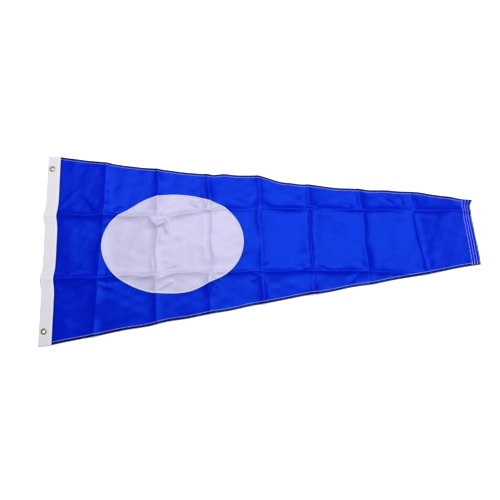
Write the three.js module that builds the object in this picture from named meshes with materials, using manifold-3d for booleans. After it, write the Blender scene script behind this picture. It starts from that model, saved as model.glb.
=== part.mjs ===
// A sewn signal pennant, laid out flat: a tapered blue nylon fly with a white ellipse let into it, a folded
// canvas heading along the hoist, and two brass grommets set through the heading.
//
// Millimetres, +Z up. The hoist is at -X and the fly end at +X. The origin is under the middle of the
// pennant, in the plane that the grommets' rolled necks rest on.

import * as THREE from "three";
import { mergeVertices } from "three/addons/utils/BufferGeometryUtils.js";
import Module from "manifold-3d";

const wasm = await Module();
wasm.setup();

// ---- Driving dimensions ------------------------------------------------------------------------------

const HOIST = 457; // height at the hoist, 18 inches
const FLY = 1016; // overall length, 40 inches
const FLY_END = 155; // height at the fly end

const HEADING_WIDTH = 30;
const HEADING_PLY = 0.6; // cotton duck
const HEADING_CAVITY = 1; // between the two plies, where the fly and the webbing are sewn in
const HEADING_OVERLENGTH = 1; // the heading passes the fly by this much at each end

const NYLON = 0.25; // one ply of the fly or of the ellipse
const HEM_PLIES = 3; // a rolled hem is the same cloth, turned over twice
const SIDE_HEM = 8;
const FLY_HEM = 22;
const TUCK = 10; // how far the fly runs in between the heading's plies

const ELLIPSE_FROM_HOIST = 302; // the ellipse's centre
const ELLIPSE_HALF_LENGTH = 166;
const ELLIPSE_HALF_HEIGHT = 122.5;
const ELLIPSE_OVERLAP = 6; // what is left of the fly behind the ellipse's edge

const WEBBING_WIDTH = 17;
const WEBBING_THICKNESS = 0.7;
const WEBBING_FROM_FOLD = 0.8;

const GROMMET_FROM_HOIST = 11.5;
const GROMMET_FROM_END = 33;
const HOLE_RADIUS = 3.2; // a size 0 grommet, with a quarter-inch hole
const BRASS = 0.45; // sheet that the eyelet is drawn from
const FLANGE_RADIUS = 7.15;
const BEND_RADIUS = 0.9; // from the eyelet's bore into its flange and its rolled neck
const CROWN_RADIUS = 5.3; // the flange is flat out to here, and then curves down to its rim
const NECK_RADIUS = 4.9; // the neck is rolled out this far, under the washer
const WASHER_THICKNESS = 0.4;
const WASHER_BORE = 4.05;
const WASHER_CORNER = 0.25;

const THREAD_WIDTH = 0.6;
const THREAD_HEIGHT = 0.25;
const ZIGZAG_WIDTH = 3; // of the seam that covers the ellipse's edge
const HEADING_ROWS = [3, 8]; // from the heading's inner edge
const SIDE_ROW = 6; // from the fly's upper and lower edges
const FLY_ROWS = [2, 8, 14, 20]; // from the fly end

const GAP = 0.1; // between pieces that touch
const THREAD_END = 1.5; // from a seam's last stitch to the edge of the cloth
const ELLIPSE_STEPS = 72;
const ROUND_STEPS = 36;
const ARC_STEPS = 2;

// ---- Where things lie --------------------------------------------------------------------------------

const HOIST_X = -FLY / 2;
const END_X = FLY / 2;
const HEADING_X = HOIST_X + HEADING_WIDTH; // the heading's inner edge
const ELLIPSE_X = HOIST_X + ELLIPSE_FROM_HOIST;
const GROMMET_X = HOIST_X + GROMMET_FROM_HOIST;
const GROMMET_Y = HOIST / 2 - GROMMET_FROM_END;

// Heights, from the rolled necks upwards.
const WASHER_Z = BRASS + GAP;
const HEADING_Z = WASHER_Z + WASHER_THICKNESS + GAP;
const CAVITY_Z = HEADING_Z + HEADING_PLY;
const CAVITY_TOP = CAVITY_Z + HEADING_CAVITY;
const HEADING_TOP = CAVITY_TOP + HEADING_PLY;
const CROWN_Z = HEADING_TOP + GAP + BEND_RADIUS;
const HEM_Z = CAVITY_Z + (HEADING_CAVITY - HEM_PLIES * NYLON) / 2;
const FLY_TOP = HEM_Z + HEM_PLIES * NYLON;
const FLY_Z = FLY_TOP - NYLON; // the hems are turned to the back, so a single ply is level with their front
const ELLIPSE_Z = FLY_TOP + GAP;
const ELLIPSE_TOP = ELLIPSE_Z + NYLON;

// Half of the fly's height at x, less an inset measured square to the edge. It tapers from the heading on.
const EDGE_DROP = (HOIST / 2 - HEADING_OVERLENGTH - FLY_END / 2) / (END_X - HEADING_X);
const EDGE_ANGLE = Math.atan(EDGE_DROP);
function halfHeight(x, inset = 0) {
  return FLY_END / 2 + EDGE_DROP * (END_X - Math.max(x, HEADING_X)) - inset / Math.cos(EDGE_ANGLE);
}

// ---- Solids ------------------------------------------------------------------------------------------

function toSolid(geometry) {
  const bare = geometry.index ? geometry.toNonIndexed() : geometry.clone();
  bare.deleteAttribute("normal");
  bare.deleteAttribute("uv");
  const merged = mergeVertices(bare, 1e-3);
  const mesh = new wasm.Mesh({
    numProp: 3,
    vertProperties: merged.attributes.position.array,
    triVerts: new Uint32Array(merged.index.array),
  });
  return new wasm.Manifold(mesh);
}

function toGeometry(solid) {
  const { vertProperties, triVerts } = solid.getMesh();
  const geometry = new THREE.BufferGeometry();
  geometry.setAttribute("position", new THREE.BufferAttribute(vertProperties, 3));
  geometry.setIndex(new THREE.BufferAttribute(triVerts, 1));
  const faceted = geometry.toNonIndexed();
  faceted.computeVertexNormals();
  return faceted;
}

function cut(geometry, ...cutters) {
  return toGeometry(cutters.reduce((solid, cutter) => solid.subtract(toSolid(cutter)), toSolid(geometry)));
}

// An outline in the XY plane, given thickness from low to high.
function slab(outline, low, high) {
  const options = { depth: high - low, bevelEnabled: false, curveSegments: ELLIPSE_STEPS / 2 };
  return new THREE.ExtrudeGeometry(outline, options).translate(0, 0, low);
}

function box(x0, x1, y0, y1, z0, z1) {
  const made = new THREE.BoxGeometry(x1 - x0, y1 - y0, z1 - z0);
  return made.translate((x0 + x1) / 2, (y0 + y1) / 2, (z0 + z1) / 2);
}

// The fly's outline from inside the heading, at x0, to x1, with its long edges moved in by inset.
function taper(x0, x1, inset = 0) {
  const upper = [x0, HEADING_X, x1].map((x) => new THREE.Vector2(x, halfHeight(x, inset)));
  const lower = [x1, HEADING_X, x0].map((x) => new THREE.Vector2(x, -halfHeight(x, inset)));
  return new THREE.Shape([...upper, ...lower]);
}

// The ellipse, with its edge moved in by inset.
function ellipse(inset = 0) {
  const outline = new THREE.Shape();
  const halfLength = ELLIPSE_HALF_LENGTH - inset;
  const halfHeightHere = ELLIPSE_HALF_HEIGHT - inset;
  outline.absellipse(ELLIPSE_X, 0, halfLength, halfHeightHere, 0, 2 * Math.PI, false, 0);
  return outline;
}

function grommetHoles(radius) {
  const through = 3 * HEADING_TOP;
  return [1, -1].map((side) =>
    new THREE.CylinderGeometry(radius, radius, through, ROUND_STEPS)
      .rotateX(Math.PI / 2)
      .translate(GROMMET_X, side * GROMMET_Y, 0),
  );
}

// ---- Cloth -------------------------------------------------------------------------------------------

// The blue fly. Its rolled hems are the same cloth, so they are the full thickness and the rest is cut back
// to one ply; the opening behind the ellipse is cut away afterwards, as the sailmaker does.
function flyPanel() {
  const startX = HEADING_X - TUCK;
  const full = slab(taper(startX, END_X), HEM_Z, FLY_TOP);
  const singlePly = slab(taper(startX - 1, END_X - FLY_HEM, SIDE_HEM), 0, FLY_Z);
  const opening = slab(ellipse(ELLIPSE_OVERLAP), 0, 2 * FLY_TOP);
  return cut(full, singlePly, opening);
}

function whiteEllipse() {
  return slab(ellipse(), ELLIPSE_Z, ELLIPSE_TOP);
}

// One strip of duck, folded lengthways round the hoist edge.
function headingTape() {
  const outerRadius = (HEADING_TOP - HEADING_Z) / 2;
  const innerRadius = HEADING_CAVITY / 2;
  const midZ = (HEADING_Z + HEADING_TOP) / 2;
  const foldX = HOIST_X + outerRadius;
  const section = new THREE.Shape();
  section.moveTo(HEADING_X, HEADING_TOP);
  section.lineTo(foldX, HEADING_TOP);
  section.absarc(foldX, midZ, outerRadius, Math.PI / 2, 1.5 * Math.PI, false);
  section.lineTo(HEADING_X, HEADING_Z);
  section.lineTo(HEADING_X, CAVITY_Z);
  section.lineTo(foldX, CAVITY_Z);
  section.absarc(foldX, midZ, innerRadius, 1.5 * Math.PI, Math.PI / 2, true);
  section.lineTo(HEADING_X, CAVITY_TOP);
  section.closePath();
  const options = { depth: HOIST, bevelEnabled: false, curveSegments: 4 * ARC_STEPS };
  const strip = new THREE.ExtrudeGeometry(section, options);
  strip.rotateX(Math.PI / 2).translate(0, HOIST / 2, 0);
  return cut(strip, ...grommetHoles(HOLE_RADIUS + BRASS + GAP));
}

// Woven webbing inside the fold, which the grommets bite on.
function headingWebbing() {
  const x0 = HOIST_X + HEADING_PLY + WEBBING_FROM_FOLD;
  const z0 = CAVITY_Z + (HEADING_CAVITY - WEBBING_THICKNESS) / 2;
  const y1 = HOIST / 2 - THREAD_END;
  const strip = box(x0, x0 + WEBBING_WIDTH, -y1, y1, z0, z0 + WEBBING_THICKNESS);
  return cut(strip, ...grommetHoles(HOLE_RADIUS + BRASS + GAP));
}

// ---- Grommets ----------------------------------------------------------------------------------------

function turned(profile) {
  return new THREE.LatheGeometry(profile.getPoints(ARC_STEPS), ROUND_STEPS).rotateX(Math.PI / 2);
}

// The front piece: a flange over the heading, a bore through it, and a neck rolled out under the washer.
function grommetEyelet() {
  const outerWall = HOLE_RADIUS + BRASS;
  const bendAt = HOLE_RADIUS + BEND_RADIUS; // the bends' centres are at this radius
  const topBendZ = CROWN_Z - BEND_RADIUS;
  const rimZ = HEADING_TOP + GAP;
  const lip = BRASS / 2;
  const profile = new THREE.Path();
  profile.moveTo(bendAt, 0);
  profile.lineTo(NECK_RADIUS, 0);
  profile.absarc(NECK_RADIUS, lip, lip, -Math.PI / 2, Math.PI / 2, false);
  profile.lineTo(bendAt, BRASS);
  profile.absarc(bendAt, BEND_RADIUS, BEND_RADIUS - BRASS, 1.5 * Math.PI, Math.PI, true);
  profile.lineTo(outerWall, topBendZ);
  profile.absarc(bendAt, topBendZ, BEND_RADIUS - BRASS, Math.PI, Math.PI / 2, true);
  profile.lineTo(CROWN_RADIUS, CROWN_Z - BRASS);
  profile.quadraticCurveTo(FLANGE_RADIUS - BRASS, CROWN_Z - BRASS, FLANGE_RADIUS - BRASS, rimZ);
  profile.lineTo(FLANGE_RADIUS, rimZ);
  profile.quadraticCurveTo(FLANGE_RADIUS, CROWN_Z, CROWN_RADIUS, CROWN_Z);
  profile.lineTo(bendAt, CROWN_Z);
  profile.absarc(bendAt, topBendZ, BEND_RADIUS, Math.PI / 2, Math.PI, false);
  profile.lineTo(HOLE_RADIUS, BEND_RADIUS);
  profile.absarc(bendAt, BEND_RADIUS, BEND_RADIUS, Math.PI, 1.5 * Math.PI, false);
  return turned(profile);
}

// The back piece: a flat ring with a rounded rim, held up against the heading by the rolled neck.
function grommetWasher() {
  const top = WASHER_Z + WASHER_THICKNESS;
  const cornerAt = FLANGE_RADIUS - WASHER_CORNER;
  const profile = new THREE.Path();
  profile.moveTo(WASHER_BORE, WASHER_Z);
  profile.lineTo(cornerAt, WASHER_Z);
  profile.absarc(cornerAt, WASHER_Z + WASHER_CORNER, WASHER_CORNER, -Math.PI / 2, 0, false);
  profile.lineTo(FLANGE_RADIUS, top);
  profile.lineTo(WASHER_BORE, top);
  profile.lineTo(WASHER_BORE, WASHER_Z);
  return turned(profile);
}

// ---- Thread ------------------------------------------------------------------------------------------

// Each seam is a lockstitch: a needle thread on the front and a bobbin thread on the back. face is the
// height of the cloth's surface, and side is +1 on the front and -1 on the back.
function threadLevels(face, side) {
  const near = face + side * GAP;
  const far = near + side * THREAD_HEIGHT;
  return [Math.min(near, far), Math.max(near, far)];
}

// A row square to the pennant's length, at x, reaching halfLength each side of the middle.
function crossRow(x, halfLength, face, side) {
  const [z0, z1] = threadLevels(face, side);
  return box(x - THREAD_WIDTH / 2, x + THREAD_WIDTH / 2, -halfLength, halfLength, z0, z1);
}

// A row along the fly's upper (+1) or lower (-1) edge, from the heading to the innermost fly row.
function sideRow(edge, face, side) {
  const x0 = HEADING_X + THREAD_END;
  const x1 = END_X - Math.max(...FLY_ROWS) - THREAD_END;
  const inner = SIDE_ROW + THREAD_WIDTH / 2;
  const outer = SIDE_ROW - THREAD_WIDTH / 2;
  const outline = new THREE.Shape([
    new THREE.Vector2(x0, edge * halfHeight(x0, inner)),
    new THREE.Vector2(x1, edge * halfHeight(x1, inner)),
    new THREE.Vector2(x1, edge * halfHeight(x1, outer)),
    new THREE.Vector2(x0, edge * halfHeight(x0, outer)),
  ]);
  return slab(outline, ...threadLevels(face, side));
}

// The zigzag seam round the ellipse, as the band that it covers.
function ellipseRow(face, side) {
  const band = ellipse();
  band.holes.push(ellipse(ZIGZAG_WIDTH));
  return slab(band, ...threadLevels(face, side));
}

// ---- The assembly ------------------------------------------------------------------------------------

const BLUE_NYLON = new THREE.MeshStandardMaterial({ color: 0x0c30d2, roughness: 0.55, metalness: 0 });
const WHITE_NYLON = new THREE.MeshStandardMaterial({ color: 0xcbc8e8, roughness: 0.6, metalness: 0 });
const CANVAS = new THREE.MeshStandardMaterial({ color: 0xe3e0e8, roughness: 0.9, metalness: 0 });
const WEBBING = new THREE.MeshStandardMaterial({ color: 0xd8d4cc, roughness: 0.9, metalness: 0 });
const WHITE_THREAD = new THREE.MeshStandardMaterial({ color: 0xe8e8f4, roughness: 0.5, metalness: 0 });
const POLISHED_BRASS = new THREE.MeshStandardMaterial({ color: 0xb89a58, roughness: 0.3, metalness: 1 });

const pennant = new THREE.Group();

function add(name, geometry, material, x = 0, y = 0) {
  const mesh = new THREE.Mesh(geometry, material);
  mesh.name = name;
  mesh.position.set(x, y, 0);
  pennant.add(mesh);
}

// Adds a seam's needle and bobbin threads; row(face, side) makes one of them.
function addSeam(name, row, front, back) {
  add(`${name}_needle_thread`, row(front, 1), WHITE_THREAD);
  add(`${name}_bobbin_thread`, row(back, -1), WHITE_THREAD);
}

add("fly_panel", flyPanel(), BLUE_NYLON);
add("white_ellipse", whiteEllipse(), WHITE_NYLON);
add("heading_tape", headingTape(), CANVAS);
add("heading_webbing", headingWebbing(), WEBBING);

for (const [name, side] of [["upper", 1], ["lower", -1]]) {
  add(`${name}_grommet_eyelet`, grommetEyelet(), POLISHED_BRASS, GROMMET_X, side * GROMMET_Y);
  add(`${name}_grommet_washer`, grommetWasher(), POLISHED_BRASS, GROMMET_X, side * GROMMET_Y);
  addSeam(`${name}_hem`, (face, front) => sideRow(side, face, front), FLY_TOP, HEM_Z);
}

addSeam("ellipse_seam", ellipseRow, ELLIPSE_TOP, FLY_Z);

HEADING_ROWS.forEach((inset, i) => {
  const row = (face, side) => crossRow(HEADING_X - inset, HOIST / 2 - THREAD_END, face, side);
  addSeam(`heading_seam_${i + 1}`, row, HEADING_TOP, HEADING_Z);
});

FLY_ROWS.forEach((inset, i) => {
  const x = END_X - inset;
  const row = (face, side) => crossRow(x, halfHeight(x, THREAD_END), face, side);
  addSeam(`fly_hem_row_${i + 1}`, row, FLY_TOP, HEM_Z);
});

export default pennant;
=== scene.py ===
"""A sewn signal pennant, lying open on a pale floor, with the creases of its storage folds.

Every cloth piece and every thread is first built flat, at its height in the CAD model. Then lay() carries it
onto one laid-out surface, which holds the creases, the pinched tucks, the puckers and the curled corner. So
seams stay on the cloth that they hold. Metres, +Z up, the hoist at -X.
"""

import math

import bpy
import numpy as np
from mathutils import Euler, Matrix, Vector


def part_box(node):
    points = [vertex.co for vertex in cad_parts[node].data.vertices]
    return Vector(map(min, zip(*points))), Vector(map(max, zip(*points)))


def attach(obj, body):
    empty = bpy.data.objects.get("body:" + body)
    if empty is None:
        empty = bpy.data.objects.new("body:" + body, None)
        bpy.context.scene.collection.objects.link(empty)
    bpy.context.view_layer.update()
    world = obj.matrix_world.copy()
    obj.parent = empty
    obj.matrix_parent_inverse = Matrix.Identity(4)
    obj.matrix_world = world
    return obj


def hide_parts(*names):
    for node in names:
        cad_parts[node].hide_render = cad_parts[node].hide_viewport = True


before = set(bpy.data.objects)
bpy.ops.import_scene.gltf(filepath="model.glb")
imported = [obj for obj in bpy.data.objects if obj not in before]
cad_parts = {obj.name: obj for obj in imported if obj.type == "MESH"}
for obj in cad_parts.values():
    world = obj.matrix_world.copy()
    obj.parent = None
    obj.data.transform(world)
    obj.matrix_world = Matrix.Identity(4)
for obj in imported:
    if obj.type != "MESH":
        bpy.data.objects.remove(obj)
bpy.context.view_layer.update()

MM = 0.001

# ---- Camera ------------------------------------------------------------------------------------------

# The angle and the distance are a fit to the pennant's four corners in the photo, for this assumed lens.
CAMERA_TILT = math.radians(12.8)
CAMERA_ROLL = math.radians(-2.1)
CAMERA_AIM = Vector((25 * MM, 23.5 * MM, -1175 * MM))  # the pennant's middle, as the camera sees it
CAMERA_LENS = 36  # mm, on a sensor this wide:
CAMERA_SENSOR = 36


def make_camera():
    camera = bpy.data.objects.new("camera", bpy.data.cameras.new("camera"))
    bpy.context.scene.collection.objects.link(camera)
    camera.data.lens = CAMERA_LENS
    camera.data.sensor_width = CAMERA_SENSOR
    camera.rotation_euler = Euler((CAMERA_TILT, 0, CAMERA_ROLL))
    camera.location = -(camera.rotation_euler.to_matrix() @ CAMERA_AIM)
    bpy.context.scene.camera = camera


make_camera()

# ---- Sizes, from the frame ---------------------------------------------------------------------------


def middle(node):
    low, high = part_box(node)
    return (low + high) / 2


FLY_LOW, FLY_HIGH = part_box("fly_panel")
HEADING_LOW, HEADING_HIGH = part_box("heading_tape")
ELLIPSE_LOW, ELLIPSE_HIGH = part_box("white_ellipse")
WEBBING_LOW, WEBBING_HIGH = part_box("heading_webbing")

HOIST_X = HEADING_LOW.x
HEADING_X = HEADING_HIGH.x  # the heading's inner edge
END_X = FLY_HIGH.x
TUCK_X = FLY_LOW.x  # where the fly starts, inside the heading
HEADING_HALF = HEADING_HIGH.y
FLY_HALF = FLY_HIGH.y
END_HALF = max(v.co.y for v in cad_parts["fly_panel"].data.vertices if v.co.x > END_X - MM / 10)
ELLIPSE_X = middle("white_ellipse").x
ELLIPSE_A = (ELLIPSE_HIGH.x - ELLIPSE_LOW.x) / 2
ELLIPSE_B = ELLIPSE_HIGH.y

# Heights of faces in the flat model. lay() puts LEVEL on the laid surface, the rest above or below it.
LEVEL = (HEADING_LOW.z + HEADING_HIGH.z) / 2
FLY_FRONT = FLY_HIGH.z
FLY_BACK = FLY_LOW.z

NYLON = 0.22 * MM  # one ply; the CAD plies are thicker by the slack between them
PLY = 0.25 * MM  # from one ply of a hem to the next
DUCK = 0.55 * MM
SIDE_HEM = 8 * MM
FLY_HEM = 22 * MM
HEM_ROOM = 10.5 * MM  # from the edge to where the cloth's own grid starts
SIDE_FLAP = 1 * MM  # where a side hem's hidden flap ends, in from the folded edge
FLY_FLAP = 2 * MM
HEM_STEP = 2.2 * MM  # the widest face across a hem's plies: wider ones would cut through each other
ELLIPSE_OVERLAP = 6 * MM  # what is left of the fly behind the ellipse's edge

# ---- How the cloth lies ------------------------------------------------------------------------------

# The pennant was folded for storage in thirds of its hoist and then in eighths of its length, by eye.
PANELS = 8
THIRDS = 3
LENGTH = END_X - HOIST_X
FOLD_CREEP = 12 * MM  # how far the folds crept towards the middle
END_FOLD_LEAN = 22 * MM  # how far the first and the last fold lean, from edge to edge
END_FOLD_POWER = 5  # how fast that lean dies out towards the middle folds
FOLD_DRIFT = 24 * MM  # how far the lengthwise folds run down towards the fly end
DRIFT_START, DRIFT_RUN = 0.55, 0.4  # from where and over how much, in shares of the length
# How sharply each crosswise crease stands in the top, middle and bottom thirds, from the hoist on. Above 0
# it is a ridge, below 0 a groove between two low swells.
CROSS_FOLDS = [
    (0.70, 0.60, 0.60),
    (0.75, 0.48, 0.70),
    (0.72, -0.48, 0.66),
    (0.75, 0.60, 0.70),
    (0.70, -0.65, 0.62),
    (0.80, 0.62, 0.42),
    (0.25, -0.40, 0.28),
]
# And the upper and lower lengthwise creases, in each panel.
LONG_FOLDS = [
    (1.00, 0.72, 0.50, 0.44, 0.60, 0.56, 0.62, 0.80),
    (1.20, 0.85, 0.52, 0.44, 0.60, 0.62, 0.42, 0.10),
]
CROSS_WIDTH = 8 * MM  # how far a crease's flank runs before it has all but died out
LONG_WIDTH = 5 * MM
CREST = 1.2 * MM  # radius of the bend at a crease
GROOVE_DEPTH = 1.6  # a groove's depth, next to a ridge of the same sharpness
CREASE_BLEND = 9 * MM  # over what distance a crease passes from one panel's sharpness to the next one's
CREASE_CHANGE = 0.35  # how much its sharpness changes along it
CREASE_WANDER = 2 * MM  # how far it strays from its line
WRINKLES = 5  # short creases that fan out from each crossing, the heading's inner edge included
WRINKLE_WIDTH = 3.6 * MM
WRINKLE_AREA = 130 * MM  # no wrinkle runs further than this from its crossing
WRINKLE_SPREAD = 16 * MM  # how far from the crossing they start
WRINKLE_SEED = 11
WRINKLE_REACH = (9, 26)  # the least and the most of a wrinkle's half length, in mm,
WRINKLE_REACH_AT_HOIST = (9, 38)  # and by the heading and the first fold
WRINKLE_SHARPNESS = (0.25, 0.65)
WRINKLE_FADE = 0.6  # how much weaker wrinkles are in the half by the fly end
# Where the second crosswise fold crosses the upper lengthwise one, the cloth was pinched up below the
# crossing.
PINCH_COLUMN = 2
PINCH = 18 * MM  # how far the pinch reaches from the crossing, along both folds
PINCH_DIP = 11 * MM  # how far it pulled the lengthwise fold down
PINCH_PULL = 55 * MM  # and how far to either side
# Pinched tucks: the crosswise and the lengthwise crease whose crossing they lie by, where they start from
# it, their direction, half their length, how sharply they stand and how far their flanks run.
TUCKS = [
    (PINCH_COLUMN, 0, (-PINCH, 0), math.radians(-45), 15 * MM, 1.5, 6.5 * MM),
    (PINCH_COLUMN, 0, (0, -PINCH), math.radians(25), 11 * MM, 1.4, 5 * MM),
    (PINCH_COLUMN, 0, (PINCH, -PINCH / 2), math.radians(-80), 15 * MM, 0.9, 4 * MM),
    (PINCH_COLUMN, 1, (0, 0), math.radians(185), 25 * MM, 0.8, 4 * MM),
    (1, 0, (0, 0), math.radians(135), 30 * MM, 0.7, 4 * MM),
    (3, 0, (0, 0), math.radians(110), 28 * MM, 0.6, 4 * MM),
    (1, 1, (0, 0), math.radians(200), 30 * MM, 0.6, 4 * MM),
]
FLOP = 0.4  # how far a tuck leans over towards the lower edge, as a share of its height
RELIEF_LIMIT = 10 * MM  # creases that cross don't pile up past this

UPPER_DRAW = 5 * MM  # how far each edge is drawn in, most of all a little nearer the hoist than halfway
LOWER_DRAW = 3 * MM
UPPER_KICK = 8 * MM  # how far the upper edge stands out past the third fold,
UPPER_KICK_RUN = (3.1, 4.5)  # from where to where, in panels from the hoist,
UPPER_KICK_RAMPS = (0.04, 0.05)  # and how fast it comes and goes, in shares of the length
SCALLOP = 1.5 * MM  # how far the edges draw in between one fold and the next
END_LEAN = 8 * MM  # how far the fly end's upper corner is pulled towards the hoist
END_LEAN_REACH = 70 * MM
END_SPREAD = 6.5 * MM  # how far the upper edge spreads along the last two panels, short of its corner,
END_SPREAD_START = 0.73  # from this share of the length,
END_SPREAD_RAMPS = (0.12, 0.05)  # and how fast that comes and goes
EDGE_WANDER = 1.2 * MM  # how far each edge strays from its line
EDGE_WANDER_LENGTH = 90 * MM
# Where the ellipse's seam drew up: the angle round the ellipse, and how far it is pulled in there.
PUCKERS = ((math.radians(130), 7 * MM), (math.radians(-57), 6 * MM))
PUCKER_REACH = 38 * MM

FLY_REST = 1.4 * MM  # how high LEVEL lies where the cloth rests on the floor
END_RISE = 0.6 * MM  # how much higher it lies over the fly end's hem
END_RISE_FROM, END_RISE_RUN = 40 * MM, 30 * MM
PILLOW = 1.3 * MM  # how high the cloth swells between its creases
BROAD_SWELL, BROAD_SHARE = 150 * MM, 0.6
SMALL_SWELL, SMALL_SHARE = 55 * MM, 0.25
FINE_SWELL, FINE_HEIGHT = 22 * MM, 0.18 * MM
REST_ROUNDING = 0.5 * MM  # the swells flatten out softly where the cloth rests on the floor
HEADING_BULGE = 4.8 * MM  # the heading kinks outwards where it was folded
BULGE_WIDTH, BULGE_REACH = 20 * MM, 90 * MM
HEADING_SLACK = 0.45 * MM  # the heading hangs this much lower away from the grommets
SLACK_REACH = 60 * MM
HEADING_FOLD = 0.14  # how sharply it stands there
HEADING_SLOPE = 45 * MM  # over what distance the fly comes down from the heading's height
HEADING_RELIEF = 0.12  # how much of the fly's creases the stiff heading takes up
STIFF_INSET, STIFF_RUN = 6 * MM, 40 * MM
CORNER_LIFT = 6 * MM  # the fly end's upper corner curls up and out
CORNER_REACH = 5 * MM
CURL_LENGTH, CURL_HEIGHT = 18 * MM, 9 * MM
EPSILON = 0.3 * MM  # step for finding the surface's slope
RIPPLE_WAVES = 9
# One seed for each field of ripples; creases and edges add their own number to theirs.
SEEDS = {"broad": 3, "small": 4, "fine": 5, "edge": 20, "cross_wander": 60, "long_wander": 90}
SEEDS |= {"cross_sharpness": 40, "long_sharpness": 80}


def smooth(x):
    x = np.clip(x, 0, 1)
    return x * x * (3 - 2 * x)


def ripples(u, v, size, seed):
    """A fixed field of smooth swells about `size` across, from about -1 to 1."""
    random = np.random.default_rng(seed)
    total = 0
    for _ in range(RIPPLE_WAVES):
        angle, phase = random.uniform(0, 2 * math.pi, 2)
        wave = 2 * math.pi / size * random.uniform(0.6, 1.3)
        total = total + np.sin(wave * (u * math.cos(angle) + v * math.sin(angle)) + phase)
    return total / math.sqrt(RIPPLE_WAVES)


def half_height(u):
    """The fly's half height in the flat model."""
    share = (END_X - np.maximum(u, HEADING_X)) / (END_X - HEADING_X)
    return END_HALF + (FLY_HALF - END_HALF) * share


def share_of_length(u):
    return np.clip((u - HOIST_X) / LENGTH, 0, 1)


def long_crease(u, row):
    """The height of a lengthwise crease at u: row 0 is the upper one, and row 1 the lower one."""
    third = HEADING_HALF / THIRDS * (1 - 2 * row)
    at = third - FOLD_DRIFT * smooth((share_of_length(u) - DRIFT_START) / DRIFT_RUN)
    if row == 0:
        from_pinch = u - cross_crease(np.array(0.0), PINCH_COLUMN)
        at = at - PINCH_DIP * np.exp(-((from_pinch / PINCH_PULL) ** 2))
    return at


def cross_crease(v, column):
    """Where a crosswise crease is at v. Column 0 is the heading's inner edge, the last is the fly end."""
    if column == 0:
        return np.full_like(v, HEADING_X)
    if column == PANELS:
        return np.full_like(v, END_X)
    share = column / PANELS
    at = HOIST_X + LENGTH * share + FOLD_CREEP * math.sin(2 * math.pi * share)
    lean = END_FOLD_LEAN * ((PANELS / 2 - column) / (PANELS / 2 - 1)) ** END_FOLD_POWER
    return at + lean / 2 * v / half_height(np.array(at))


def edge_shift(u, side):
    """How far the upper (+1) or lower (-1) edge stands outside a straight line."""
    share = share_of_length(u)
    draw = 2 * (UPPER_DRAW if side > 0 else LOWER_DRAW) * np.sin(math.pi * share) * (1 - share)
    if side > 0:
        (start, stop), (come, go) = UPPER_KICK_RUN, UPPER_KICK_RAMPS
        kick = UPPER_KICK * smooth((share - start / PANELS) / come) * smooth((stop / PANELS - share) / go)
        come, go = END_SPREAD_RAMPS
        spread = END_SPREAD * smooth((share - END_SPREAD_START) / come) * smooth((1 - share) / go)
        draw = draw - kick - spread
    draw = draw + SCALLOP * np.abs(np.sin(PANELS * math.pi * share))
    wander = EDGE_WANDER * np.sin(math.pi * share)
    return wander * ripples(u, u * 0, EDGE_WANDER_LENGTH, SEEDS["edge"] + side) - draw


def fold(distance, sharpness, width):
    """The height that a crease gives the cloth at a distance from it."""
    r = np.sqrt(distance**2 + CREST**2) - CREST
    ridge = width * np.exp(-r / width)
    groove = r * np.exp(-r / width)
    return np.where(sharpness > 0, ridge * sharpness, -groove * sharpness * GROOVE_DEPTH)


def short_creases(u, v, column, row, creases):
    """The height of short creases by the place where a crosswise and a lengthwise crease cross. Each is
    (start along, start up, direction, half length, sharpness, width)."""
    centre_v = long_crease(cross_crease(np.array(0.0), column), row)
    across, up = u - cross_crease(centre_v, column), v - centre_v
    total = np.zeros_like(u)
    near = np.flatnonzero(np.hypot(across, up) < WRINKLE_AREA)
    across, up = across[near], up[near]
    for off_u, off_v, angle, reach, sharpness, width in creases:
        along, square = math.cos(angle), math.sin(angle)
        ahead = (across - off_u) * along + (up - off_v) * square - reach
        beside = (up - off_v) * along - (across - off_u) * square
        total[near] += fold(beside, sharpness, width) * np.exp(-((ahead / reach) ** 4))
    return total


def wrinkles(u, v):
    """Short creases that run out from where two folds cross, and die away."""
    random = np.random.default_rng(WRINKLE_SEED)
    total = np.zeros_like(u)
    for column in range(PANELS):
        for row in (0, 1):
            made = []
            for _ in range(WRINKLES):
                off = random.normal(0, WRINKLE_SPREAD, 2)
                angle = random.uniform(0, 2 * math.pi)
                reach = random.uniform(*(WRINKLE_REACH if column > 1 else WRINKLE_REACH_AT_HOIST)) * MM
                sharpness = random.uniform(*WRINKLE_SHARPNESS) * (1 if column < PANELS / 2 else WRINKLE_FADE)
                made.append((*off, angle, reach, sharpness, WRINKLE_WIDTH))
            total += short_creases(u, v, column, row, made)
    return total


def tucks(u, v):
    total = 0
    for column, row, start, *rest in TUCKS:
        total = total + short_creases(u, v, column, row, [(*start, *rest)])
    return total


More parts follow.
